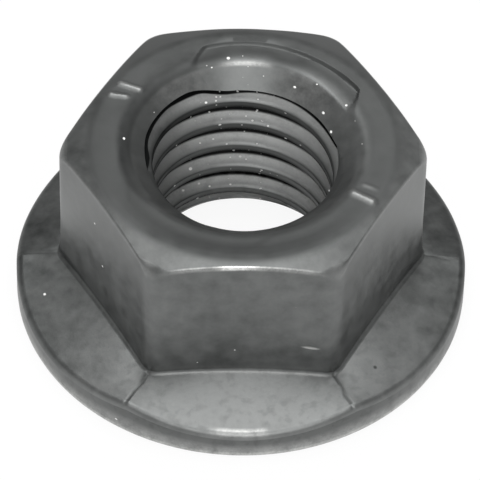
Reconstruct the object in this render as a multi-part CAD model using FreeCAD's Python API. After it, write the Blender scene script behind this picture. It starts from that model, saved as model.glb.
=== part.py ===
import FreeCAD, Part
import math
import os
from FreeCAD import Vector

# A forged hexagon nut with a flange, all one piece of steel. The origin is the middle of the
# bearing face, +Z runs up the thread axis, and two of the six flats face -Y and +Y. All in mm.

# Thread, right-hand. The phase is the height of the groove's middle on the +X side, in the
# first turn above the bearing face.
thread_diameter = 10.0
thread_pitch = 1.5
thread_flank_angle = 30.0
thread_phase = 0.94

# Hexagon
across_flats = 15.0
nut_height = 10.0
hex_corner_radius = 1.0

# Cone that takes the corners off the top of the hexagon
chamfer_circle_diameter = 14.06
chamfer_angle = 24.0

# Flange: six crowned facets fall from the hexagon to a round rim and meet in creases at the
# corners. Each size is the facet's height above the bearing face at one end of such a line.
flange_diameter = 21.2
facet_foot_height = 2.64
crease_foot_height = 2.3
facet_rim_height = 1.54
crease_rim_height = 2.05
rim_bottom_radius = 0.35

# Countersinks at both ends of the thread
top_countersink_diameter = 10.84
bottom_countersink_diameter = 10.8
countersink_angle = 90.0

# Two pads pressed into the top face, opposite each other, which grip the screw's thread
pad_outer_diameter = 12.72
pad_depth = 0.27
pad_start_angle = 30.0
pad_end_angle = 112.0

# Short raised dashes beside the pads, the same on both sides of the axis
dash_angles = (147.5, 154.0)
dash_inner_radius = 6.0
dash_length = 0.75
dash_width = 0.3
dash_height = 0.1

# Sizes that follow from the ones above. A metric nut thread is five eighths of a sharp
# triangle deep, and the flat at the bottom of its groove is an eighth of the pitch wide.
flank_slope = math.tan(math.radians(thread_flank_angle))
thread_depth = 0.625 * thread_pitch / (2 * flank_slope)
thread_minor_diameter = thread_diameter - 2 * thread_depth
groove_floor_width = thread_pitch / 8
hex_circumradius = across_flats / 2 / math.cos(math.radians(30))
overshoot = 1.0
wall_arcs = 8


def hexagon(apothem, z):
    """A closed hexagon with a flat towards -Y, at height z."""
    radius = apothem / math.cos(math.radians(30))
    corners = [
        Vector(radius * math.cos(math.radians(a)), radius * math.sin(math.radians(a)), z)
        for a in range(0, 360, 60)
    ]
    return Part.makePolygon(corners + corners[:1])


def revolved(points):
    """The solid that a closed profile of (radius, height) points sweeps round the axis."""
    outline = [Vector(r, 0, z) for r, z in points]
    face = Part.Face(Part.makePolygon(outline + outline[:1]))
    return face.revolve(Vector(0, 0, 0), Vector(0, 0, 1), 360)


def hexagon_body():
    """The hexagon with the forging's rounded corners, their tops taken off by a cone."""
    prism = Part.Face(hexagon(across_flats / 2, 0)).extrude(Vector(0, 0, nut_height))
    corners = [e for e in prism.Edges if abs(e.BoundBox.ZLength - nut_height) < 1e-6]
    prism = prism.makeFillet(hex_corner_radius, corners)
    chamfer_radius = chamfer_circle_diameter / 2
    reach = hex_circumradius + overshoot
    fall = (reach - chamfer_radius) * math.tan(math.radians(chamfer_angle))
    cone = revolved([
        (0, -overshoot),
        (reach, -overshoot),
        (reach, nut_height - fall),
        (chamfer_radius, nut_height),
        (0, nut_height),
    ])
    return prism.common(cone)


def facet_line(angle, foot_height, rim_height, distance):
    """The point at a distance from the axis on the straight line from foot to rim at an angle."""
    foot = across_flats / 2 / math.cos(math.radians(angle))
    rim = flange_diameter / 2
    height = foot_height + (rim_height - foot_height) * (distance - foot) / (rim - foot)
    turned = math.radians(angle - 90)
    return Vector(distance * math.cos(turned), distance * math.sin(turned), height)


def facet_cutter(turn):
    """The space above one facet, which reaches a little into the hexagon and past the rim."""
    lines = (
        (-30, crease_foot_height, crease_rim_height),
        (0, facet_foot_height, facet_rim_height),
        (30, crease_foot_height, crease_rim_height),
    )
    inner = []
    outer = []
    for angle, foot_height, rim_height in lines:
        apothem = across_flats / 2 - hex_corner_radius
        start = apothem / math.cos(math.radians(angle))
        inner.append(facet_line(angle, foot_height, rim_height, start))
        outer.append(facet_line(angle, foot_height, rim_height, flange_diameter / 2 + overshoot))
    facet = Part.makeRuledSurface(Part.Arc(*inner).toShape(), Part.Arc(*outer).toShape())
    cutter = facet.extrude(Vector(0, 0, facet_foot_height + overshoot))
    cutter.rotate(Vector(0, 0, 0), Vector(0, 0, 1), turn)
    return cutter


def flange():
    """A disc with a rounded lower rim and six facets cut in its top."""
    disc = Part.makeCylinder(flange_diameter / 2, facet_foot_height + overshoot / 2)
    lower_edge = [e for e in disc.Edges if e.BoundBox.ZMax < 1e-6]
    disc = disc.makeFillet(rim_bottom_radius, lower_edge)
    for turn in range(0, 360, 60):
        disc = disc.cut(facet_cutter(turn))
    return disc


def countersink(diameter, face_z, into):
    """A cone that opens at face_z and narrows in the direction into, +1 or -1."""
    radius = diameter / 2
    slope = math.tan(math.radians(countersink_angle / 2))
    return revolved([
        (0, face_z - into * overshoot),
        (radius + overshoot * slope, face_z - into * overshoot),
        (0, face_z + into * radius / slope),
    ])


def bore_cutter():
    """The plain hole at the minor diameter. Its wall is in equal arcs, so that each turn of
    the thread's crest comes out as short strips, and none of them starts on +X, as the groove does."""
    radius = thread_minor_diameter / 2
    arcs = []
    for i in range(wall_arcs):
        points = []
        for part in (-0.5, 0, 0.5):
            angle = 2 * math.pi * (i + part) / wall_arcs
            points.append(Vector(radius * math.cos(angle), radius * math.sin(angle), -overshoot))
        arcs.append(Part.Arc(*points).toShape())
    return Part.Face(Part.Wire(arcs)).extrude(Vector(0, 0, nut_height + 2 * overshoot))


def groove_half_width(radius):
    """Half the width of the thread's groove at a distance from the axis."""
    return groove_floor_width / 2 + (thread_diameter / 2 - radius) * flank_slope


def thread_cutter():
    """The thread's groove: a trapezoid swept up a right-hand helix, from under the nut to over it."""
    outer = thread_diameter / 2
    inner = thread_minor_diameter / 2 - 0.15 * thread_depth
    section = [
        Vector(inner, 0, -groove_half_width(inner)),
        Vector(outer, 0, -groove_half_width(outer)),
        Vector(outer, 0, groove_half_width(outer)),
        Vector(inner, 0, groove_half_width(inner)),
    ]
    profile = Part.makePolygon(section + section[:1])
    turns_below = 2
    turns = math.ceil(nut_height / thread_pitch) + turns_below + 1
    cone_angle = 0
    helix = Part.makeLongHelix(thread_pitch, turns * thread_pitch, outer, cone_angle)
    as_solid = True
    keep_upright = True
    groove = Part.Wire(helix.Edges).makePipeShell([profile], as_solid, keep_upright)
    groove.translate(Vector(0, 0, thread_phase - turns_below * thread_pitch))
    return groove


def pad_recess(turn):
    """The space that one pad is pressed down by: a sector of a flat disc."""
    sweep = pad_end_angle - pad_start_angle
    disc = Part.makeCylinder(
        pad_outer_diameter / 2,
        pad_depth + overshoot,
        Vector(0, 0, nut_height - pad_depth),
        Vector(0, 0, 1),
        sweep,
    )
    disc.rotate(Vector(0, 0, 0), Vector(0, 0, 1), pad_start_angle + turn)
    return disc


def dash(angle):
    """A short raised bar with round ends that points at the axis, half sunk in the top face."""
    radius = (dash_width ** 2 / 4 + dash_height ** 2) / (2 * dash_height)
    centre_z = nut_height + dash_height - radius
    start = Vector(dash_inner_radius, 0, centre_z)
    bar = Part.makeCylinder(radius, dash_length, start, Vector(1, 0, 0))
    for end in (start, start + Vector(dash_length, 0, 0)):
        bar = bar.fuse(Part.makeSphere(radius, end))
    above_face = Part.makeBox(
        2 * nut_height, nut_height, overshoot,
        Vector(0, -nut_height / 2, nut_height - dash_height),
    )
    bar = bar.common(above_face)
    bar.rotate(Vector(0, 0, 0), Vector(0, 0, 1), angle)
    return bar


def flange_nut():
    """The whole nut as one solid, with the thread cut last."""
    body = hexagon_body().fuse(flange())
    for turn in (0, 180):
        body = body.cut(pad_recess(turn))
        for angle in dash_angles:
            body = body.fuse(dash(angle + turn))
    body = body.removeSplitter()
    body = body.cut(countersink(bottom_countersink_diameter, 0, 1))
    body = body.cut(countersink(top_countersink_diameter, nut_height, -1))
    body = body.cut(bore_cutter())
    return body.cut(thread_cutter())


def main():
    nut = flange_nut()
    if len(nut.Solids) != 1 or not nut.isValid():
        raise RuntimeError("the nut is not one valid solid")
    os.makedirs("parts", exist_ok=True)
    nut.Solids[0].exportStep("parts/flange_nut.step")
    print(f"flange_nut: {len(nut.Faces)} faces, {nut.Volume:.1f} mm3")


main()
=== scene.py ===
"""A forged hexagon flange nut of phosphated steel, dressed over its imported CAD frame."""

import logging
import math
from dataclasses import dataclass, field
from enum import Enum
from typing import NamedTuple, Optional

import bpy
from mathutils import Matrix, Vector

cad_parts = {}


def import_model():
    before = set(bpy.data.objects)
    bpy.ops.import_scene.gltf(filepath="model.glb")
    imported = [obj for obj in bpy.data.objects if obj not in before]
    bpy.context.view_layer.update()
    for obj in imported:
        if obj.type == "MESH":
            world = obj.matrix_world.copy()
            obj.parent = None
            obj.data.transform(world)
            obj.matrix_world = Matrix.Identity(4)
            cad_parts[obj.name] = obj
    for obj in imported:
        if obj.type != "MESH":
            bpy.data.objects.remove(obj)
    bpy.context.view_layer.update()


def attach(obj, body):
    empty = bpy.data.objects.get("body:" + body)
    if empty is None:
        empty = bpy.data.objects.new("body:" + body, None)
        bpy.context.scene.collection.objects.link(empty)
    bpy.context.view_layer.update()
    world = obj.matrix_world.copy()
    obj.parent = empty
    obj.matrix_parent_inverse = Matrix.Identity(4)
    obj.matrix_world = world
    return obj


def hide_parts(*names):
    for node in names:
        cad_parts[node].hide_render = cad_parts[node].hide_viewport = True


log = logging.getLogger("flange_nut")
Socket = bpy.types.NodeSocket

MM = 0.001

# Directions in degrees from +X, and the angle from the middle of a flat to its corner.
FRONT = 270.0
REAR = 90.0
HALF_SIDE = 30.0


def smooth(low: float, high: float, value: float) -> float:
    """A smooth step from 0 at low to 1 at high, which may be the lower of the two."""
    share = min(1.0, max(0.0, (value - low) / (high - low)))
    return share * share * (3 - 2 * share)


def turned(angle: float, about: float) -> float:
    """The signed difference between two angles in degrees, from -180 to 180."""
    return (angle - about + 180) % 360 - 180


def near(angle: float, about: float, wide: float, narrow: float) -> float:
    """1 close to a direction, fading to 0 between narrow and wide degrees from it."""
    return smooth(wide, narrow, abs(turned(angle, about)))


class Field:
    """A value in a node tree, on which plain arithmetic adds Math nodes."""

    def __init__(self, tree: bpy.types.NodeTree, socket: Socket) -> None:
        """Wraps an output socket of a node in the tree."""
        self.tree = tree
        self.socket = socket

    def maths(self, operation: str, *values: "Field | float") -> "Field":
        """Adds one Math node.

        Args:
            operation: the node's operation.
            values: its inputs in order, fields or plain numbers.

        Returns:
            The node's result.
        """
        node = self.tree.nodes.new("ShaderNodeMath")
        node.operation = operation
        for socket, value in zip(node.inputs, values):
            if isinstance(value, Field):
                self.tree.links.new(value.socket, socket)
            else:
                socket.default_value = value
        return Field(self.tree, node.outputs[0])

    def __add__(self, other: "Field | float") -> "Field":
        """self + other."""
        return self.maths("ADD", self, other)

    __radd__ = __add__

    def __sub__(self, other: "Field | float") -> "Field":
        """self - other."""
        return self.maths("SUBTRACT", self, other)

    def __rsub__(self, other: float) -> "Field":
        """other - self."""
        return self.maths("SUBTRACT", other, self)

    def __mul__(self, other: "Field | float") -> "Field":
        """self * other."""
        return self.maths("MULTIPLY", self, other)

    __rmul__ = __mul__

    def __truediv__(self, other: "Field | float") -> "Field":
        """self / other."""
        return self.maths("DIVIDE", self, other)

    def __abs__(self) -> "Field":
        """The value without its sign."""
        return self.maths("ABSOLUTE", self)

    def __pow__(self, other: float) -> "Field":
        """self ** other."""
        return self.maths("POWER", self, other)

    def __gt__(self, other: "Field | float") -> "Field":
        """1 where self is over other, else 0."""
        return self.maths("GREATER_THAN", self, other)

    def fraction(self) -> "Field":
        """The part after the decimal point, from 0 to 1."""
        return self.maths("FRACT", self)

    def at_least(self, other: "Field | float") -> "Field":
        """The larger of the two."""
        return self.maths("MAXIMUM", self, other)

    def at_most(self, other: "Field | float") -> "Field":
        """The smaller of the two."""
        return self.maths("MINIMUM", self, other)

    def step(self, low: float, high: float) -> "Field":
        """A smooth step from 0 at low to 1 at high."""
        share = ((self - low) / (high - low)).at_least(0.0).at_most(1.0)
        return share * share * (3.0 - 2.0 * share)


class Tree:
    """Adds nodes of any kind to one node tree."""

    def __init__(self, tree: bpy.types.NodeTree) -> None:
        """Keeps the tree that the nodes go into."""
        self.tree = tree

    def add(
        self, kind: str, sockets: Optional[dict[object, object]] = None, **settings: object
    ) -> bpy.types.Node:
        """Adds a node, sets it and fills its inputs.

        Args:
            kind: the node's type.
            sockets: what its inputs get, by name or number: a Field, a socket or a value.
            settings: its properties.

        Returns:
            The node.
        """
        node = self.tree.nodes.new(kind)
        for name, value in settings.items():
            setattr(node, name, value)
        for name, value in (sockets or {}).items():
            if isinstance(value, Field):
                value = value.socket
            if isinstance(value, Socket):
                self.tree.links.new(value, node.inputs[name])
            else:
                node.inputs[name].default_value = value
        return node

    def value(self, node: bpy.types.Node, output: object = 0) -> Field:
        """One of a node's outputs as a Field."""
        return Field(self.tree, node.outputs[output])

    def axes(self, place: Socket) -> tuple[Field, ...]:
        """The three coordinates of a place."""
        parts = self.add("ShaderNodeSeparateXYZ", {0: place})
        return tuple(self.value(parts, i) for i in range(3))


def cleared_tree(holder: bpy.types.Material | bpy.types.World) -> Tree:
    """Turns on the nodes of a material or a world and clears them.

    Args:
        holder: the material or the world.

    Returns:
        Its tree.
    """
    holder.use_nodes = True
    holder.node_tree.nodes.clear()
    return Tree(holder.node_tree)


def show(name: str, data: bpy.types.ID) -> bpy.types.Object:
    """Makes an object and links it into the scene.

    Args:
        name: what the object is called.
        data: its mesh, lamp or camera.

    Returns:
        The object.
    """
    shown = bpy.data.objects.new(name, data)
    bpy.context.scene.collection.objects.link(shown)
    return shown


class Zone(Enum):
    """Where a row of the mesh lies, which decides what the thread's tree does to it."""

    OUTSIDE = 0.0
    BORE = 1.0


@dataclass(frozen=True)
class ScrewThread:
    """The right-hand metric thread, in millimetres."""

    diameter: float = 10.0
    pitch: float = 1.5
    flank_slope: float = math.tan(math.radians(30))
    phase_height: float = 0.94
    edge_rounding: float = 0.03

    @property
    def depth(self) -> float:
        """How deep the groove is, from crest to floor."""
        return 0.625 * self.pitch / (2 * self.flank_slope)

    @property
    def minor_radius(self) -> float:
        """The radius of the crest."""
        return self.diameter / 2 - self.depth

    @property
    def floor_half(self) -> float:
        """Half the width of the groove's floor."""
        return self.pitch / 16

    @property
    def mouth_half(self) -> float:
        """Half the width of the groove at the crest."""
        return self.floor_half + self.depth * self.flank_slope

    def rows(self) -> list[float]:
        """Spaces the rows of one turn, closest at the groove's edges.

        Returns:
            Their heights, measured from the middle of the groove.
        """
        soft = self.edge_rounding
        floor, mouth = self.floor_half, self.mouth_half
        flank = [floor + (mouth - floor) * share for share in (0.25, 0.5, 0.75)]
        side = [floor - soft, floor + soft, *flank, mouth - soft, mouth + soft]
        return [-h for h in reversed(side)] + [0.0] + side + [self.pitch / 2]


@dataclass(frozen=True)
class SpikeMark:
    """A short raised dash on the top face that points at the axis, in millimetres."""

    angle: float
    start: float
    end: float
    width: float
    height: float
    slant: float = 0.0

    def shape(self, angle: float, radius: float) -> float:
        """How much of the dash a place has.

        Args:
            angle: the place's direction in degrees.
            radius: its distance from the axis.

        Returns:
            1 on the dash's ridge, falling to 0 at its edge.
        """
        off = turned(angle, self.angle + self.slant * (radius - self.end))
        across = radius * math.radians(off)
        along = max(self.start - radius, radius - self.end, 0.0)
        away = math.hypot(across, along) / (self.width / 2)
        return max(0.0, 1 - away * away) ** 2


@dataclass(frozen=True)
class PressedPad:
    """A sector of the top face that is pressed down to pinch the thread, in millimetres.

    Its ends spread inwards and soften there, its outer edge ripples, and its start lies deeper.
    """

    start_angle: float
    end_angle: float
    outer_radius: float
    depth: float
    step: float = 0.08
    splay: float = 10.0
    end_softening: float = 6.0
    soft_radii: tuple[float, float] = (5.9, 5.1)
    ripple: float = 0.04
    ripple_count: float = 5.0
    start_dip: float = 0.35
    dip_sweep: float = 25.0

    def fall(self, angle: float, radius: float) -> float:
        """How far the pad lies under the top face at a place.

        Args:
            angle: the place's direction in degrees.
            radius: its distance from the axis.

        Returns:
            A depth in millimetres.
        """
        middle = (self.start_angle + self.end_angle) / 2
        half = (self.end_angle - self.start_angle) / 2
        off = turned(angle, middle)
        reach = half + (self.outer_radius - radius) * self.splay
        softer = 1 + self.end_softening * smooth(*self.soft_radii, radius)
        edge = math.degrees(self.step / radius) * softer
        low = smooth(-reach - edge, -reach + edge, off)
        high = smooth(reach + edge, reach - edge, off)
        wave = math.sin(math.radians(self.ripple_count * off))
        outer = self.outer_radius + self.ripple * wave
        inside = smooth(outer + self.step, outer - self.step, radius)
        deeper = 1 + self.start_dip * smooth(-half + self.dip_sweep, -half, off)
        return self.depth * deeper * low * high * inside


class Surface:
    """What the finish reads at a place: its position in millimetres, attributes and patterns."""

    def __init__(self, tree: Tree, foot: float) -> None:
        """Adds the nodes that read them.

        Args:
            tree: where the nodes go.
            foot: the height of the flange's top at the hexagon.
        """
        self.tree = tree
        found = tree.add("ShaderNodeTexCoord").outputs["Object"]
        scaled = tree.add("ShaderNodeVectorMath", {0: found, "Scale": 1 / MM}, operation="SCALE")
        self.place = scaled.outputs[0]
        self.x, self.y, self.z = tree.axes(self.place)
        self.radius = (self.x * self.x + self.y * self.y) ** 0.5
        # The mesh's attributes: abrasion with painted highlights, painted shade, the groove's
        # depth and the height under the lip.
        self.wear_and_highlight, self.painted_shade, self.deep, self.drop = (
            tree.value(tree.add("ShaderNodeAttribute", attribute_name=name), "Fac")
            for name in ("wear_and_highlight", "painted_shade", "deep", "drop")
        )
        self.clouds = self.noise(0.35, 3.0)
        self.mottle = self.noise(1.3, 4.0)
        self.grain = self.noise(9.0, 3.0)
        self.on_flange = (foot + 0.4 - self.z).step(0.0, 0.3)

    def noise(self, scale: float, detail: float) -> Field:
        """A cloudy pattern whose scale counts features per millimetre."""
        sockets = {"Vector": self.place, "Scale": scale, "Detail": detail, "Roughness": 0.55}
        return self.tree.value(self.tree.add("ShaderNodeTexNoise", sockets))


@dataclass(frozen=True)
class Finish:
    """The levels of colour and gloss of phosphated steel, linear and from 0 to 1.

    Scales count features per millimetre. Places and lengths are in millimetres.
    """

    name: str = "phosphated_steel"
    dark: tuple = (0.050, 0.053, 0.052, 1.0)
    light: tuple = (0.208, 0.214, 0.211, 1.0)
    # Pale metal for abrasion and for painted highlights.
    worn_and_highlit: tuple = (0.80, 0.80, 0.78, 1.0)
    # A pale colour painted on the thread's flanks as light, stronger deeper in the groove.
    flank: tuple = (0.85, 0.86, 0.85, 1.0)
    # Near black, for painted shade and the dark blotches.
    shade_and_grime: tuple = (0.008, 0.009, 0.009, 1.0)
    speck: tuple = (0.9, 0.9, 0.88, 1.0)
    metallic: float = 0.85
    roughness: float = 0.40
    bump_strength: float = 0.55
    bump_height: float = 0.012

    blotch_scale: float = 2.2
    coarse_fleck_scale: float = 3.9
    fine_fleck_scale: float = 5.5
    fleck_stretch: tuple[float, float, float] = (0.75, 0.75, 1.25)

    # How dark the painted shade in the groove's floor and under the lip is; a pit is drawn as a
    # spot of painted shade; the blotches are stains of the coating.
    groove_and_gap_shade: float = 0.97
    gap_height: float = 0.42
    pit_place: tuple[float, float] = (6.18, -6.82)
    pit_radius: float = 0.12
    pit_shade: float = 0.65
    blotch_grime: float = 0.11
    nick_place: tuple[float, float] = (3.14, 4.25)
    nick_wear: float = 0.45

    def flecks(self, at: Surface, scale: float, chance: Field) -> Field:
        """Small bright dots of different sizes.

        Args:
            at: what the finish reads.
            scale: how many cells there are per millimetre, with one dot at most in each.
            chance: the share of the cells that have a dot.

        Returns:
            1 in a dot and 0 between them.
        """
        tree = at.tree
        stretched = tree.add(
            "ShaderNodeVectorMath", {0: at.place, 1: self.fleck_stretch}, operation="MULTIPLY"
        )
        cells = tree.add("ShaderNodeTexVoronoi", {"Vector": stretched.outputs[0], "Scale": scale})
        pick = tree.add("ShaderNodeSeparateColor", {0: cells.outputs["Color"]})
        size = tree.value(pick, 1) * 0.25 + 0.1
        dots = (1.0 - tree.value(cells, "Distance") / size).step(0.0, 0.4)
        return dots * (tree.value(pick, 0) > (1.0 - chance))

    def tone(self, at: Surface) -> Field:
        """How light the coating is: random clouds, with painted light rising to the sides and to
        the flange's front.

        Args:
            at: what the finish reads.

        Returns:
            0 for the dark colour and 1 for the light one.
        """
        # Painted light: lighter to the sides and low on the hexagon's left, and on the flange
        # lighter toward the front and darker at its far sides.
        side_painted_light = abs(at.x) * 0.018
        flange_painted_light = (at.y * -0.05 - 0.02).at_most(0.25).at_least(-0.08) - side_painted_light * 1.6
        flange_painted_light = flange_painted_light - (abs(at.x) - 7.0).at_least(0.0) * 0.08
        left_painted_light = (-6.0 - at.x).at_least(0.0) * (6.5 - at.z) * 0.04
        level = at.clouds * 0.5 + at.mottle * 0.8 - 0.1 + side_painted_light + left_painted_light
        level = level + at.on_flange * (flange_painted_light - left_painted_light)
        return level.at_least(0.0).at_most(1.0)

    def shade_and_dirt(self, at: Surface, depth: float) -> Field:
        """How much painted shade and dark blotching there is.

        Args:
            at: what the finish reads.
            depth: the depth of the thread's groove.

        Returns:
            0 for none and 1 for solid darkness: painted shade in the groove's floor, in the gap
                                                 under the lip, in a pit and from the shade
                                                 attribute, with dark blotches on the flange.
        """
        shade_smudge = at.painted_shade * (at.mottle * 0.6 + 0.7)
        # Painted shade in the groove's floor and in the gap under the lip.
        floor = at.deep.step(0.6 * depth, 0.74 * depth)
        widening = (at.x * 0.22).at_least(0.0) ** 2.0 * 0.35
        gap = (widening + self.gap_height - at.drop).step(-0.02, 0.02) * at.deep.step(0.1, 0.2)
        # A pit's painted shade.
        off_x, off_y = at.x - self.pit_place[0], at.y - self.pit_place[1]
        apart = (off_x * off_x + off_y * off_y) ** 0.5
        pit = (self.pit_radius - apart).step(0.0, 0.08) * (3.0 - at.z).step(0.0, 0.1)
        blotch = at.noise(self.blotch_scale, 3.0).step(0.48, 0.68) * at.on_flange
        shade_and_dirt = shade_smudge + (floor + gap) * self.groove_and_gap_shade
        return (shade_and_dirt + pit * self.pit_shade + blotch * self.blotch_grime).at_most(1.0)

    def specks(self, at: Surface, mouth: float) -> Field:
        """The flecks, most of them on the bore's far wall and crowded in its middle.

        Args:
            at: what the finish reads.
            mouth: the radius inside which the bore and its countersink lie.

        Returns:
            1 in a fleck and 0 between them.
        """
        inside = (mouth - 0.1 - at.radius).step(0.0, 0.2)
        far_wall = inside * at.y.step(-3.0, 0.0)
        crowd = (2.4 - abs(at.x + 0.3)).step(0.0, 1.2) * at.mottle.step(0.42, 0.5)
        crowd = crowd * (at.deep.step(0.05, 0.2) + 0.2)
        coarse = self.flecks(at, self.coarse_fleck_scale, far_wall * 0.05 + 0.004)
        fine = self.flecks(at, self.fine_fleck_scale, far_wall * crowd * 0.45)
        return coarse.at_least(fine)

    def nick(self, at: Surface) -> Field:
        """A slanting nick in the front flat.

        Args:
            at: what the finish reads.

        Returns:
            1 in its middle and 0 outside it.
        """
        off_x, off_z = at.x - self.nick_place[0], at.z - self.nick_place[1]
        along = off_x * 0.98 - off_z * 0.2
        across = off_x * 0.2 + off_z * 0.98
        middle = 1.0 - (along * along * 3.6 + across * across * 60.0) ** 0.5
        return middle.step(0.0, 0.7) * (-6.5 - at.y).step(0.0, 0.3)

    def material(self, nut: "FlangeNut") -> bpy.types.Material:
        """Builds the finish.

        Args:
            nut: the nut whose sizes place the tones of its thread.

        Returns:
            The material.
        """
        material = bpy.data.materials.new(self.name)
        tree = cleared_tree(material)
        at = Surface(tree, nut.facet_foot)
        depth = nut.thread.depth
        # Abrasion and painted highlights, broken up into flecks.
        rubbed_and_highlit = at.wear_and_highlight * (at.mottle * 1.6 + at.grain * 1.2 - 0.7)
        rubbed_and_highlit = rubbed_and_highlit.at_least(0.0).at_most(1.0)
        # Painted light on the thread's flanks, rising with depth.
        flank_painted_light = (at.deep / (0.75 * depth)).at_most(1.0)
        flank_painted_light = flank_painted_light * (0.3 + at.mottle * 0.9 + at.grain * 0.4).at_most(1.0)
        shade_and_dirt = self.shade_and_dirt(at, depth)
        specks = self.specks(at, nut.mouth_start)
        nick = self.nick(at)

        # Layers: tone with painted light, abrasion with painted highlights, painted flank light,
        # painted shade with blotches, specks, the nick.
        colour: object = self.dark
        for share, tint in (
            (self.tone(at), self.light),
            (rubbed_and_highlit, self.worn_and_highlit),
            (flank_painted_light, self.flank),
            (shade_and_dirt, self.shade_and_grime),
            (specks, self.speck),
            (nick * self.nick_wear, self.worn_and_highlit),
        ):
            over = tree.add("ShaderNodeMix", {0: share, 6: colour, 7: tint}, data_type="RGBA")
            colour = over.outputs[2]

        gloss = self.roughness + (at.mottle - 0.5) * 0.22 + (at.clouds - 0.5) * 0.14
        gloss = gloss + shade_and_dirt * 0.3 - rubbed_and_highlit * 0.2 + at.deep.step(0.0, 0.2) * 0.25
        height = at.grain * 0.5 + at.mottle * 1.2 - nick * 4.0 + specks * 2.0
        bump = tree.add(
            "ShaderNodeBump",
            {"Strength": self.bump_strength, "Distance": self.bump_height * MM, "Height": height},
        )
        shader = tree.add(
            "ShaderNodeBsdfPrincipled",
            {
                "Base Color": colour,
                "Metallic": (1.0 - specks) * self.metallic,
                "Roughness": gloss.at_least(0.15).at_most(0.9),
                "Normal": bump.outputs[0],
            },
        )
        tree.add("ShaderNodeOutputMaterial", {"Surface": shader.outputs[0]})
        return material


class Row(NamedTuple):
    """One place of the nut's section, in millimetres, with its abrasion and painted highlight and
    its painted shade, each from 0 to 1.
    """

    radius: float
    height: float
    wear_and_highlight: float = 0.0
    painted_shade: float = 0.0


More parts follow.
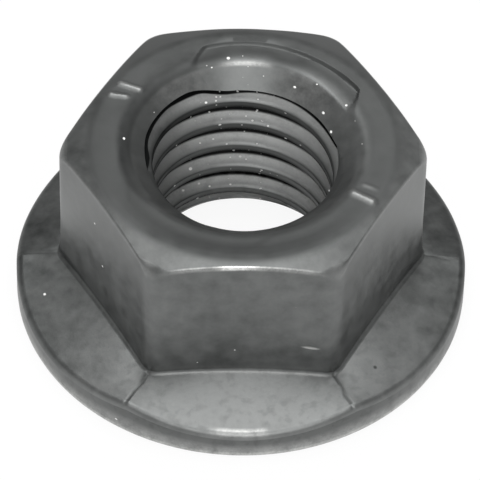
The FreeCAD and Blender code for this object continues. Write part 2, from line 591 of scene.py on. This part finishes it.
@dataclass
class FlangeNut:
    """The whole forging. Sizes are in millimetres, angles in degrees, directions from +X.

    The gaps are those between the mesh's columns, in the open and near a corner or a mark.
    """

    thread: ScrewThread = field(default_factory=ScrewThread)
    finish: Finish = field(default_factory=Finish)

    across_flats: float = 15.0
    height: float = 10.0
    corner_radius: float = 1.0
    chamfer_radius: float = 7.03
    chamfer_angle: float = 24.0
    chamfer_blend: float = 0.25
    front_edge_rounding: float = 0.15
    side_edge_rounding: float = 0.18
    corner_edge_rounding: float = 0.45

    flange_radius: float = 10.6
    facet_foot: float = 2.64
    crease_foot: float = 2.3
    facet_rim: float = 1.54
    crease_rim: float = 2.05
    rim_bottom_radius: float = 0.35
    rim_top_radius: float = 0.4
    crease_depth: float = 0.03
    crease_width: float = 0.06
    foot_fillet: float = 0.13
    foot_flare: float = 0.1
    foot_flare_height: float = 0.5

    bottom_countersink: float = 5.62
    mouth_start: float = 5.85
    mouth_end: float = 5.1
    mouth_chip: float = 0.2
    front_mouth_widening: float = 0.18
    pad_edge: float = 5.88
    pad_blend: float = 0.1
    open_lip_height: float = 9.2
    pressed_lip_height: float = 8.88
    lip_snap: float = 0.06
    unevenness: float = 0.05
    sharp_angle: float = 38.0
    # How dark the painted shade on the top face is.
    top_shade_level: float = 0.43
    open_gap: float = 1.0
    corner_gap: float = 0.3
    corner_reach: float = 2.6
    mark_gap: float = 0.5
    mark_reach: float = 3.4
    pads: tuple[PressedPad, ...] = (
        PressedPad(32.6, 106.3, 6.36, depth=0.19, step=0.07),
        PressedPad(212.6, 276.0, 6.36, depth=0.07, step=0.4),
    )
    marks: tuple[SpikeMark, ...] = (
        SpikeMark(147.2, 5.85, 6.75, width=0.5, height=0.09, slant=1.5),
        SpikeMark(154.0, 6.15, 6.8, width=0.44, height=0.08, slant=2.4),
        SpikeMark(328.7, 5.8, 6.85, width=0.6, height=0.08),
        SpikeMark(335.0, 6.1, 6.6, width=0.4, height=0.03),
    )

    def columns(self) -> list[float]:
        """Spaces the mesh's columns, closer together at the corners and the marks.

        Returns:
            Their directions in rising order.
        """
        angles = []
        angle = 0.0
        while angle < 360.0:
            angles.append(angle)
            gap = self.corner_gap if self.off_corner(angle) < self.corner_reach else self.open_gap
            if any(abs(turned(angle, mark.angle)) < self.mark_reach for mark in self.marks):
                gap = min(gap, self.mark_gap)
            angle += gap
        share = 360.0 / angle
        return [a * share for a in angles]

    def off_flat(self, angle: float) -> float:
        """The direction's angle from the middle of the nearest flat, from -30 to 30 degrees."""
        return angle % (2 * HALF_SIDE) - HALF_SIDE

    def off_corner(self, angle: float) -> float:
        """The direction's angle from the nearest corner, from 0 to 30 degrees."""
        return HALF_SIDE - abs(self.off_flat(angle))

    def outline(self, angle: float) -> float:
        """Finds the hexagon's rounded outline.

        Args:
            angle: a direction.

        Returns:
            The outline's distance from the axis.
        """
        apothem = self.across_flats / 2
        straight = apothem - self.corner_radius
        off = self.off_flat(angle)
        tangent = math.atan2(straight * math.tan(math.radians(HALF_SIDE)), apothem)
        if abs(off) < math.degrees(tangent):
            return apothem / math.cos(math.radians(off))
        centre = straight / math.cos(math.radians(HALF_SIDE))
        from_corner = math.radians(self.off_corner(angle))
        reach = self.corner_radius ** 2 - (centre * math.sin(from_corner)) ** 2
        return centre * math.cos(from_corner) + math.sqrt(max(0.0, reach))

    def crease(self, angle: float, radius: float) -> float:
        """How much of a crease line a place has, strongest at the front.

        Args:
            angle: the place's direction.
            radius: its distance from the axis.

        Returns:
            1 on the middle of a front crease, falling to 0 beside it.
        """
        wander = 0.45 * math.sin(2.9 * radius + angle // 60) + 0.2 * math.sin(7.3 * radius)
        off = (angle - 29.5) % 60 - 30 + wander
        line = math.exp(-((radius * math.radians(off) / self.crease_width) ** 2))
        return line * (0.3 + 0.7 * near(angle, FRONT, 80, 45))

    def facet_height(self, angle: float, radius: float) -> float:
        """The height of the flange's top at a place outside the hexagon.

        Args:
            angle: the place's direction.
            radius: its distance from the axis.

        Returns:
            The height above the bearing face.
        """
        off = math.radians(self.off_flat(angle))
        limit = math.radians(HALF_SIDE)
        foot_share = (math.tan(off) / math.tan(limit)) ** 2
        rim_share = (1 - math.cos(off)) / (1 - math.cos(limit))
        foot = self.facet_foot + (self.crease_foot - self.facet_foot) * foot_share
        rim = self.facet_rim + (self.crease_rim - self.facet_rim) * rim_share
        inner = self.across_flats / 2 / math.cos(off)
        share = (radius - inner) / (self.flange_radius - inner)
        return foot + (rim - foot) * share - self.crease_depth * self.crease(angle, radius)

    def chamfer_height(self, radius: float) -> float:
        """The height of the plain top, where the flat face blends into the cone.

        Args:
            radius: the distance from the axis.

        Returns:
            The height above the bearing face.
        """
        out = radius - self.chamfer_radius
        slope = math.tan(math.radians(self.chamfer_angle))
        blend = self.chamfer_blend
        if out <= -blend:
            return self.height
        if out >= blend:
            return self.height - slope * out
        return self.height - slope * (out + blend) ** 2 / (4 * blend)

    def mark_rise(self, angle: float, radius: float) -> float:
        """How much the dashes lift the top face at a place."""
        return max(mark.height * mark.shape(angle, radius) for mark in self.marks)

    def top_painted_shade(self, angle: float, radius: float) -> float:
        """How much painted shade the top face has, most at the front and in the left of the mouth.

        Args:
            angle: the place's direction.
            radius: its distance from the axis.

        Returns:
            The painted shade from 0 to 1.
        """
        turn = math.radians(angle)
        outer = self.top_shade_level - 0.02 * math.cos(turn) - 0.07 * math.sin(turn)
        inner = 0.45 * self.top_shade_level - 0.1 * math.cos(turn) - 0.17 * math.sin(turn)
        limit = 7.5 + 1.2 * near(angle, REAR, 75, 55)
        painted_shade = max(0.0, inner + (outer - inner) * smooth(5.3, 6.0, radius))
        painted_shade *= smooth(limit, limit - 0.5, radius)
        # Painted shade on the rear mouth's rounding beside its highlight, and on the edge of the
        # front pad.
        beside_pad = near(angle, 130, 85, 55) * (1 - near(angle, 88, 18, 3))
        painted_shade += 0.38 * smooth(5.1, 5.3, radius) * smooth(6.0, 5.6, radius) * beside_pad
        round_pad = smooth(6.2, 6.5, radius) * smooth(7.3, 7.05, radius)
        return painted_shade + 0.1 * round_pad * near(angle, FRONT, 60, 25)

    def top_row(self, angle: float, radius: float) -> Row:
        """Describes the top face, abraded on its dashes, with a painted highlight on the rear
        pad's mouth and painted light beside it.

        Args:
            angle: the place's direction.
            radius: its distance from the axis.

        Returns:
            The place.
        """
        marked = min(1.0, self.mark_rise(angle, radius) / 0.08)
        # Painted highlight on the rounding of the rear mouth and painted light on the cone beside
        # it; the dashes are abraded.
        shine = smooth(5.36, 5.26, radius) * smooth(5.1, 5.2, radius) * near(angle, 89, 18, 4)
        beside = near(angle, REAR, 68, 42) * (1 - near(angle, REAR, 36, 12))
        wear_and_highlight = 0.17 * marked + 0.35 * shine + 0.13 * beside * smooth(5.3, 5.15, radius)
        painted_shade = self.top_painted_shade(angle, radius) * (1 - marked)
        return Row(radius, self.top_height(angle, radius), wear_and_highlight, painted_shade)

    def mouth_fall(self, angle: float, radius: float) -> float:
        """How far the countersink's rounded mouth lies under the top face at a place.

        Args:
            angle: the place's direction.
            radius: its distance from the axis.

        Returns:
            A depth, larger where the mouth is chipped and at the front.
        """
        chipped = smooth(178, 192, angle) * smooth(225, 212, angle) * smooth(5.1, 5.7, radius)
        widened = self.front_mouth_widening * near(angle, FRONT, 100, 60)
        start = self.mouth_start + self.mouth_chip * chipped + widened
        width = self.mouth_start - self.mouth_end
        into = min(max(0.0, start - radius), width)
        further = max(0.0, start - radius - into)
        return into * into / (2 * width) + further

    def top_height(self, angle: float, radius: float) -> float:
        """The height of the top face with its pads, dashes and mouth.

        Args:
            angle: the place's direction.
            radius: its distance from the axis.

        Returns:
            The height above the bearing face.
        """
        pressed = sum(pad.fall(angle, radius) for pad in self.pads)
        mouth = self.mouth_fall(angle, radius)
        blend = self.pad_blend
        both = math.sqrt((pressed - mouth) ** 2 + blend ** 2) - blend
        fall = (pressed + mouth + both) / 2
        return self.chamfer_height(radius) - fall + self.mark_rise(angle, radius)

    def flange_rows(self, angle: float) -> list[Row]:
        """Follows the flange from the bearing face round its rim and up to the hexagon.

        Args:
            angle: the direction.

        Returns:
            The rows, with the fillet at the hexagon's foot last.
        """
        rim, bottom = self.flange_radius, self.rim_bottom_radius
        # The rim's bottom rounding and side get abrasion and painted light, strongest toward the
        # front.
        lit = 0.3 + 0.7 * near(angle, 255, 110, 60)
        start, stop = self.bottom_countersink, rim - bottom
        rows = [Row(start + (stop - start) * share, 0.0) for share in (0.0, 0.25, 0.5, 0.75, 0.95)]
        for step in range(6):
            turn = math.radians(90 * step / 5)
            radius = rim - bottom + bottom * math.sin(turn)
            rows.append(Row(radius, bottom - bottom * math.cos(turn), 0.5 * lit))

        soft = self.rim_top_radius * (1 - 0.15 * near(angle, FRONT, 75, 35))
        slope = math.atan(self.facet_height(angle, rim - 1) - self.facet_height(angle, rim))
        touch = rim - soft + soft * math.sin(slope)
        centre = self.facet_height(angle, touch) - soft * math.cos(slope)
        for share in (0.08, 0.35, 0.65, 0.92, 0.98):
            wear_and_highlight = 0.25 * lit * smooth(0.7, 0.0, share)
            # Painted shade on the upper rim at the front.
            painted_shade = 0.3 * near(angle, FRONT, 60, 30) * smooth(0.2, 0.8, share)
            rows.append(Row(rim, bottom + (centre - bottom) * share, wear_and_highlight, painted_shade))
        # A painted highlight on the rim's top rounding and the facet's outer edge at the front.
        glint = near(angle, 269.5, 9, 4)
        for step in range(7):
            turn = (math.pi / 2 - slope) * step / 6
            wear_and_highlight = 0.15 * glint * smooth(1, 4, step)
            radius = rim - soft + soft * math.cos(turn)
            rows.append(Row(radius, centre + soft * math.sin(turn), wear_and_highlight))

        foot = self.outline(angle) + self.foot_fillet
        for share in (0.02, 0.08, 0.2, 0.35, 0.5, 0.65, 0.8, 0.92, 0.98):
            radius = touch + (foot - touch) * share
            wear_and_highlight = 0.4 * glint if share < 0.05 else 0.0
            # Painted shade along the flange's creases.
            painted_shade = 0.45 * self.crease(angle, radius)
            rows.append(Row(radius, self.facet_height(angle, radius), wear_and_highlight, painted_shade))
        front = near(angle, FRONT, 32, 26)
        for step in range(7):
            turn = math.radians(90 * step / 6)
            radius = self.outline(angle) + self.foot_fillet * (1 - math.sin(turn))
            level = self.facet_height(angle, radius) + self.foot_fillet * (1 - math.cos(turn))
            wear_and_highlight = 0.1 * front if step < 3 else 0.0
            # Painted shade at the hexagon's foot, lighter at the front.
            rows.append(Row(radius, level, wear_and_highlight, 0.3 - 0.15 * front))
        return rows

    def hexagon_rows(self, angle: float) -> list[Row]:
        """Follows the hexagon's side, flared at the foot of its corners, and its chamfer.

        Args:
            angle: the direction.

        Returns:
            The rows from above the fillet to the flat top.
        """
        wall = self.outline(angle)
        off_corner = self.off_corner(angle)
        front = near(angle, FRONT, 32, 26)
        foot = self.facet_height(angle, wall) + self.foot_fillet
        head = self.chamfer_height(wall)
        change = self.front_edge_rounding - self.side_edge_rounding
        edge = self.side_edge_rounding + change * front
        softest = smooth(6.0, 0.5, off_corner) * (1 - 0.8 * near(angle, REAR, 55, 38))
        edge += self.corner_edge_rounding * softest
        flare = self.foot_flare * smooth(4.5, 1.0, off_corner)
        rows = []
        for share in (0.02, 0.08, 0.16, 0.25, 0.35, 0.45, 0.55, 0.65, 0.75, 0.85, 0.94, 0.985):
            level = foot + (head - edge - foot) * share
            out = flare * math.exp(-(level - foot) / self.foot_flare_height)
            rows.append(Row(wall + out, level))

        # A painted highlight along the chamfer's front edge, with a brighter glint in its middle
        # and a faint line elsewhere.
        wear_and_highlight = (0.25 * front + 0.2 * near(angle, FRONT, 14, 4)) * smooth(2.0, 11.0, off_corner)
        wear_and_highlight += near(angle, 267.5, 8, 2.5)
        wear_and_highlight += 0.06 * (1 - front)
        tilt = 90 - self.chamfer_angle
        reach = edge * math.tan(math.radians(tilt / 2))
        for step in range(7):
            turn = math.radians(tilt * step / 6)
            radius = wall - edge + edge * math.cos(turn)
            rows.append(Row(radius, head - reach + edge * math.sin(turn), wear_and_highlight))
        start = wall - edge + edge * math.sin(math.radians(self.chamfer_angle))
        stop = self.chamfer_radius - self.chamfer_blend
        for share in (0.03, 0.15, 0.3, 0.45, 0.6, 0.7, 0.8, 0.9, 1.0):
            rows.append(self.top_row(angle, start + (stop - start) * share))
        return rows

    def side_profile(self, angle: float) -> list[Row]:
        """The nut's section in one direction.

        Args:
            angle: the direction.

        Returns:
            Rows from the bottom countersink up to the top one, as many in every direction.
        """
        radii = [6.45, 6.42, 6.39, 6.36, 6.33, 6.3, 6.26, 6.2, 6.12, 6.04, 5.96, self.pad_edge]
        for share in (0.12, 0.24, 0.36, 0.48, 0.6, 0.7, 0.8, 0.88, 0.94, 1.0):
            radii.append(self.pad_edge + (self.mouth_end - self.pad_edge) * share)
        top = [self.top_row(angle, radius) for radius in radii]
        return self.flange_rows(angle) + self.hexagon_rows(angle) + top

    def lip_height(self, angle: float) -> float:
        """Places the lip that closes the first groove, lower where a pad is pressed down.

        Args:
            angle: the direction.

        Returns:
            The lip's height above the bearing face.
        """
        pressed = 0.0
        for pad in self.pads:
            after_start = smooth(-50, -8, turned(angle, pad.start_angle))
            before_end = smooth(20, -9, turned(angle, pad.end_angle))
            pressed = max(pressed, after_start * before_end)
        return self.open_lip_height + (self.pressed_lip_height - self.open_lip_height) * pressed

    def bore_painted_shade(self, angle: float, level: float) -> float:
        """How much painted shade the bore has away from its far wall, at its upper left and at its
        foot.
        """
        left = 0.35 * near(angle, 155, 60, 20) * smooth(8.0, 8.6, level)
        return 0.4 * (1 - near(angle, 80, 85, 30)) + left + 0.35 * smooth(1.0, 0.6, level)

    def faces(self, count: int, skin: int, bore: int) -> list[tuple[int, ...]]:
        """Joins the columns to each other, the last one to the first a full turn higher.

        Args:
            count: how many columns there are.
            skin: how many rows of a column lie outside the bore.
            bore: how many rows of a column lie in it.

        Returns:
            The faces as numbers of vertices.
        """
        faces: list[tuple[int, ...]] = []
        for i in range(count):
            here = i * (skin + bore)
            there = (i + 1) % count * (skin + bore)
            shift = len(self.thread.rows()) if i == count - 1 else 0
            for row in range(skin - 1):
                faces.append((here + row, there + row, there + row + 1, here + row + 1))
            for row in range(bore - 1 - shift):
                a, b = here + skin + row, there + skin + row + shift
                faces.append((a, a + 1, b + 1, b))
        return faces

    def base_mesh(self) -> bpy.types.Object:
        """Makes the forging with a smooth bore, whose rows already follow the helix.

        Returns:
            An object with the float attributes that the thread's tree and the finish read.
        """
        angles = self.columns()
        sides = [self.side_profile(angle) for angle in angles]
        pitch = self.thread.pitch
        turns = math.ceil((self.height + 0.4) / pitch) + 2
        start = -2 * pitch + self.thread.phase_height
        rows = self.thread.rows()
        levels = [start + turn * pitch + row for turn in range(turns + 1) for row in rows]
        vertices: list[tuple[float, ...]] = []
        tags: dict[str, list[float]] = {
            name: [] for name in ("bore", "rim_radius", "rim_height", "lip", "wear_and_highlight", "painted_shade")
        }

        def put(angle: float, row: Row, zone: Zone, rim: tuple[float, float, float]) -> None:
            """Adds a vertex with its attribute values, in the order of tags.

            Args:
                angle: its direction.
                row: its place in the section.
                zone: where it lies.
                rim: the radius and height at which the bore begins, and the lip's height.
            """
            across = row.radius * math.cos(math.radians(angle))
            back = row.radius * math.sin(math.radians(angle))
            vertices.append((across * MM, back * MM, row.height * MM))
            for name, value in zip(tags, (zone.value, *rim, row.wear_and_highlight, row.painted_shade)):
                tags[name].append(value)

        for angle, side in zip(angles, sides):
            inmost = side[-1]
            lip = self.lip_height(angle)
            rim = (inmost.radius, inmost.height, lip)
            for row in side:
                put(angle, row, Zone.OUTSIDE, rim)
            for level in levels:
                helix = level + pitch * angle / 360
                if abs(helix - lip) < self.lip_snap:
                    helix = lip
                # The bore gets painted shade; at and above the lip it takes the top face's
                # abrasion, painted highlight and painted shade.
                wear_and_highlight, painted_shade = 0.0, self.bore_painted_shade(angle, helix)
                if helix > lip - 0.01:
                    wear_and_highlight, painted_shade = inmost.wear_and_highlight, inmost.painted_shade
                put(angle, Row(self.thread.minor_radius, helix, wear_and_highlight, painted_shade), Zone.BORE, rim)

        mesh = bpy.data.meshes.new("forged_nut_base")
        mesh.from_pydata(vertices, [], self.faces(len(angles), len(sides[0]), len(levels)))
        for name, values in tags.items():
            attribute = mesh.attributes.new(name, "FLOAT", "POINT")
            attribute.data.foreach_set("value", values)
        return show("forged_nut_base", mesh)

    def thread_tree(self) -> bpy.types.NodeTree:
        """Builds the Geometry Nodes tree that cuts the thread and both countersinks in the bore.

        Returns:
            The tree, with named inputs for the sizes in metres.
        """
        group = bpy.data.node_groups.new("cut_thread", "GeometryNodeTree")
        interface = group.interface
        interface.new_socket("Geometry", in_out="INPUT", socket_type="NodeSocketGeometry")
        for name in self.tree_inputs():
            interface.new_socket(name, in_out="INPUT", socket_type="NodeSocketFloat")
        interface.new_socket("Finish", in_out="INPUT", socket_type="NodeSocketMaterial")
        interface.new_socket("Geometry", in_out="OUTPUT", socket_type="NodeSocketGeometry")
        tree = Tree(group)
        given = tree.add("NodeGroupInput")
        pitch, major, minor, phase, slope, floor, rounding, height, bottom, uneven = (
            tree.value(given, name) for name in self.tree_inputs()
        )

        def stored(name: str) -> Field:
            """An attribute of the base mesh."""
            return tree.value(tree.add("GeometryNodeInputNamedAttribute", {"Name": name}))

        def store(geometry: Socket, name: str, value: Field) -> Socket:
            """Writes an attribute that the finish reads, and gives back the geometry."""
            sockets = {"Geometry": geometry, "Name": name, "Value": value}
            return tree.add("GeometryNodeStoreNamedAttribute", sockets).outputs[0]

        x, y, z = tree.axes(tree.add("GeometryNodeInputPosition").outputs[0])
        turn = y.maths("ARCTAN2", y, x)
        bore = stored("bore")
        rim_radius = stored("rim_radius") * MM
        rim_height = stored("rim_height") * MM
        lip = stored("lip") * MM

        along = ((z - phase) / pitch - turn / math.tau + 0.5).fraction() - 0.5
        from_middle = abs(along) * pitch
        flank = major - (from_middle - floor) / slope
        wall = flank.maths("SMOOTH_MIN", flank, major, rounding)
        wall = wall.maths("SMOOTH_MAX", wall, minor, rounding)
        lip_softness = 0.02 * MM
        below_lip = ((lip - z) / lip_softness).step(0.0, 1.0)
        wall = minor + (wall - minor) * below_lip
        level = z.at_least(0.0).at_most(rim_height)
        lower_cone = bottom - level
        upper_cone = rim_radius - rim_height + level
        wall = wall.maths("SMOOTH_MAX", wall, lower_cone, rounding * 0.5)
        wall = wall.maths("SMOOTH_MAX", wall, upper_cone, rounding * 0.5)
        skin = lower_cone.at_least(upper_cone).at_least(minor)
        # Painted shade on the crests' lands and just under each crest, where shadow falls.
        crest_land_shade = abs(along).step(0.35, 0.39) * 0.35
        under_crest_shade = (1.0 - abs(along - 0.385) / 0.08).at_least(0.0) * 0.5
        crest_painted_shade = (crest_land_shade + under_crest_shade) * bore * (minor * 1.01 > skin)
        nut = store(given.outputs[0], "deep", (wall - skin) / MM * bore)
        nut = store(nut, "painted_shade", stored("painted_shade") + crest_painted_shade)
        nut = store(nut, "drop", (lip - z) / MM)

        touching = 1e-7
        above = (z - rim_height) > -touching
        below = z.maths("LESS_THAN", z, touching)
        wall = wall + (rim_radius - wall) * above
        wall = wall + (bottom - wall) * below
        spot = tree.add(
            "ShaderNodeCombineXYZ",
            {0: turn.maths("COSINE", turn) * wall, 1: turn.maths("SINE", turn) * wall, 2: level},
        )
        cut = tree.add(
            "GeometryNodeSetPosition",
            {"Geometry": nut, "Selection": bore > 0.5, "Position": spot.outputs[0]},
        )
        joined = tree.add(
            "GeometryNodeMergeByDistance", {"Geometry": cut.outputs[0], "Distance": 2 * touching}
        )
        forged = self.forged_skin(tree, joined.outputs[0], uneven, height)
        soft = tree.add("GeometryNodeSetShadeSmooth", {"Geometry": forged})
        real = tree.add("GeometryNodeRealizeInstances", {"Geometry": soft.outputs[0]})
        dressed = tree.add(
            "GeometryNodeSetMaterial",
            {"Geometry": real.outputs[0], "Material": given.outputs["Finish"]},
        )
        tree.add("NodeGroupOutput", {0: dressed.outputs[0]})
        return group

    def forged_skin(self, tree: Tree, geometry: Socket, uneven: Field, height: Field) -> Socket:
        """Draws the outside in by a low, fixed noise, as a forging's skin is never quite even.

        Args:
            tree: the thread's tree.
            geometry: the nut with its thread cut.
            uneven: the noise's full depth.
            height: the nut's height, under which the bearing face stays flat.

        Returns:
            The geometry's socket.
        """
        place = tree.add("GeometryNodeInputPosition").outputs[0]
        normal = tree.add("GeometryNodeInputNormal").outputs[0]
        x, y, z = tree.axes(place)
        broad = tree.add(
            "ShaderNodeTexNoise",
            {"Vector": place, "W": 4.0, "Scale": 320.0, "Detail": 2.0, "Roughness": 0.5},
            noise_dimensions="4D",
        )
        radius = (x * x + y * y) ** 0.5
        outside = (radius / MM).step(5.6, 6.2) * (z / height).step(0.001, 0.04)
        depth = tree.value(broad) * uneven * outside
        sockets = {0: normal, "Scale": depth * -1.0}
        shift = tree.add("ShaderNodeVectorMath", sockets, operation="SCALE").outputs[0]
        moved = {"Geometry": geometry, "Offset": shift}
        return tree.add("GeometryNodeSetPosition", moved).outputs[0]

    def tree_inputs(self) -> dict[str, float]:
        """The names and values of the thread tree's inputs, in metres."""
        thread = self.thread
        return {
            "Pitch": thread.pitch * MM,
            "Major Radius": thread.diameter / 2 * MM,
            "Minor Radius": thread.minor_radius * MM,
            "Phase Height": thread.phase_height * MM,
            "Flank Slope": thread.flank_slope,
            "Groove Floor": thread.floor_half * MM,
            "Edge Rounding": thread.edge_rounding * MM,
            "Nut Height": self.height * MM,
            "Bottom Countersink": self.bottom_countersink * MM,
            "Unevenness": self.unevenness * MM,
        }

    def build(self) -> bpy.types.Object:
        """Makes the finished nut as one closed mesh, dressed in its finish.

        Returns:
            The piece.
        """
        base = self.base_mesh()
        group = self.thread_tree()
        modifier = base.modifiers.new("thread", "NODES")
        modifier.node_group = group
        values: dict[str, object] = dict(self.tree_inputs())
        values["Finish"] = self.finish.material(self)
        for item in group.interface.items_tree:
            if item.item_type == "SOCKET" and item.in_out == "INPUT" and item.name in values:
                modifier[item.identifier] = values[item.name]
        graph = bpy.context.evaluated_depsgraph_get()
        mesh = bpy.data.meshes.new_from_object(
            base.evaluated_get(graph), preserve_all_data_layers=True, depsgraph=graph
        )
        mesh.name = "forged_nut"
        bpy.data.objects.remove(base)
        mesh.set_sharp_from_angle(angle=math.radians(self.sharp_angle))
        return show("forged_nut", mesh)


@dataclass
class Studio:
    """The pale floor, the soft lamps and the world round the nut. Sizes in metres."""

    floor_size: float = 6.0
    floor_tone: float = 0.9
    floor_glow: float = 0.92
    horizon: float = 0.8
    sky: float = 0.32

    def floor_material(self) -> bpy.types.Material:
        """A white floor that keeps the nut's soft shadow.

        Returns:
            The material, which mixes a matt white with a plain white that rays from the camera
            and from gloss see.
        """
        material = bpy.data.materials.new("white_floor")
        tree = cleared_tree(material)
        rays = tree.add("ShaderNodeLightPath")
        seen = tree.value(rays, "Is Camera Ray") + tree.value(rays, "Is Glossy Ray")
        seen = seen + tree.value(rays, "Is Transmission Ray")
        tone = self.floor_tone
        matt = tree.add("ShaderNodeBsdfDiffuse", {"Color": (tone, tone, tone, 1.0)})
        white = tree.add("ShaderNodeEmission", {"Strength": 1.0})
        both = tree.add(
            "ShaderNodeMixShader",
            {0: seen.at_most(1.0) * self.floor_glow, 1: matt.outputs[0], 2: white.outputs[0]},
        )
        tree.add("ShaderNodeOutputMaterial", {"Surface": both.outputs[0]})
        return material

    def build_floor(self) -> bpy.types.Object:
        """Makes the floor under the bearing face.

        Returns:
            The floor.
        """
        half = self.floor_size / 2
        corners = [(-half, -half, 0.0), (half, -half, 0.0), (half, half, 0.0), (-half, half, 0.0)]
        mesh = bpy.data.meshes.new("floor")
        mesh.from_pydata(corners, [], [(0, 1, 2, 3)])
        mesh.materials.append(self.floor_material())
        return show("floor", mesh)

    def build_world(self) -> None:
        """Gives the world a pale horizon under a darker sky, both plain white to the camera."""
        world = bpy.data.worlds.new("studio")
        tree = cleared_tree(world)
        up = tree.axes(tree.add("ShaderNodeTexCoord").outputs["Generated"])[2]
        level = self.horizon + (self.sky - self.horizon) * up.step(0.05, 0.5)
        seen = tree.value(tree.add("ShaderNodeLightPath"), "Is Camera Ray")
        level = level * (1.0 - seen) + seen
        white = (1.0, 1.0, 1.0, 1.0)
        light = tree.add("ShaderNodeBackground", {"Color": white, "Strength": level})
        tree.add("ShaderNodeOutputWorld", {"Surface": light.outputs[0]})
        bpy.context.scene.world = world

    def add_lamp(self, name: str, place: Vector, size: float, power: float) -> None:
        """Adds a square soft lamp that points at the nut.

        Args:
            name: what the lamp is called.
            place: where it stands.
            size: the length of its side.
            power: its power in watts.
        """
        lamp = bpy.data.lights.new(name, "AREA")
        lamp.shape = "SQUARE"
        lamp.size = size
        lamp.energy = power
        holder = show(name, lamp)
        holder.location = place
        holder.rotation_euler = (-place).to_track_quat("-Z", "Y").to_euler()

    def build(self) -> bpy.types.Object:
        """Makes the whole studio.

        Returns:
            The floor.
        """
        self.build_world()
        self.add_lamp("overhead_softbox", Vector((0.0, 0.08, 0.4)), size=0.34, power=1.25)
        self.add_lamp("front_softbox", Vector((0.0, -0.36, 0.4)), size=0.42, power=1.5)
        return self.build_floor()


@dataclass(frozen=True)
class PhotoCamera:
    """The camera that fits the photograph. Angles in degrees, lengths in metres."""

    elevation: float = 48.2738
    turn: float = 1.1513
    roll: float = 1.2551
    distance: float = 0.236237
    aim_height: float = 0.005
    focal_pixels: float = 5059.88
    frame_pixels: float = 480.0
    centre_pixels: tuple[float, float] = (241.918, 214.630)
    sensor: float = 36.0

    def build(self) -> bpy.types.Object:
        """Places the camera and makes it the scene's.

        Returns:
            The camera.
        """
        rise = math.radians(self.elevation)
        back = Vector((0.0, -math.cos(rise), math.sin(rise)))
        right = Vector((1.0, 0.0, 0.0))
        up = right.cross(-back)
        tilt = math.radians(self.roll)
        right, up = (
            math.cos(tilt) * right + math.sin(tilt) * up,
            math.cos(tilt) * up - math.sin(tilt) * right,
        )
        middle = self.frame_pixels / 2
        across = (middle - self.centre_pixels[0]) / self.focal_pixels
        down = (middle - self.centre_pixels[1]) / self.focal_pixels
        forward = (-back + right * across - up * down).normalized()
        right = (right - forward * right.dot(forward)).normalized()
        up = right.cross(forward)
        stand = back * self.distance + Vector((0.0, 0.0, self.aim_height))
        unturn = Matrix.Rotation(math.radians(-self.turn), 3, "Z")
        facing = unturn @ Matrix((right, up, -forward)).transposed()

        lens = bpy.data.cameras.new("photo_camera")
        lens.sensor_width = self.sensor
        lens.lens = self.focal_pixels / self.frame_pixels * self.sensor
        lens.clip_start = 0.01
        lens.clip_end = 20.0
        camera = show("photo_camera", lens)
        camera.matrix_world = Matrix.Translation(unturn @ stand) @ facing.to_4x4()
        bpy.context.scene.camera = camera
        return camera


def main() -> None:
    """Builds the nut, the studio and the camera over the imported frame."""
    logging.basicConfig(level=logging.INFO, format="%(message)s")
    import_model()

    camera = PhotoCamera().build()
    log.info("%s at %s", camera.name, [round(v, 4) for v in camera.location])

    nut = FlangeNut().build()
    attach(nut, "root")
    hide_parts("flange_nut")
    log.info("%s: %d vertices, %d faces", nut.name, len(nut.data.vertices), len(nut.data.polygons))

    floor = Studio().build()
    log.info("%s: %.1f m wide", floor.name, floor.dimensions.x)

    bpy.context.scene.view_settings.view_transform = "Standard"


if __name__ == "__main__":
    main()
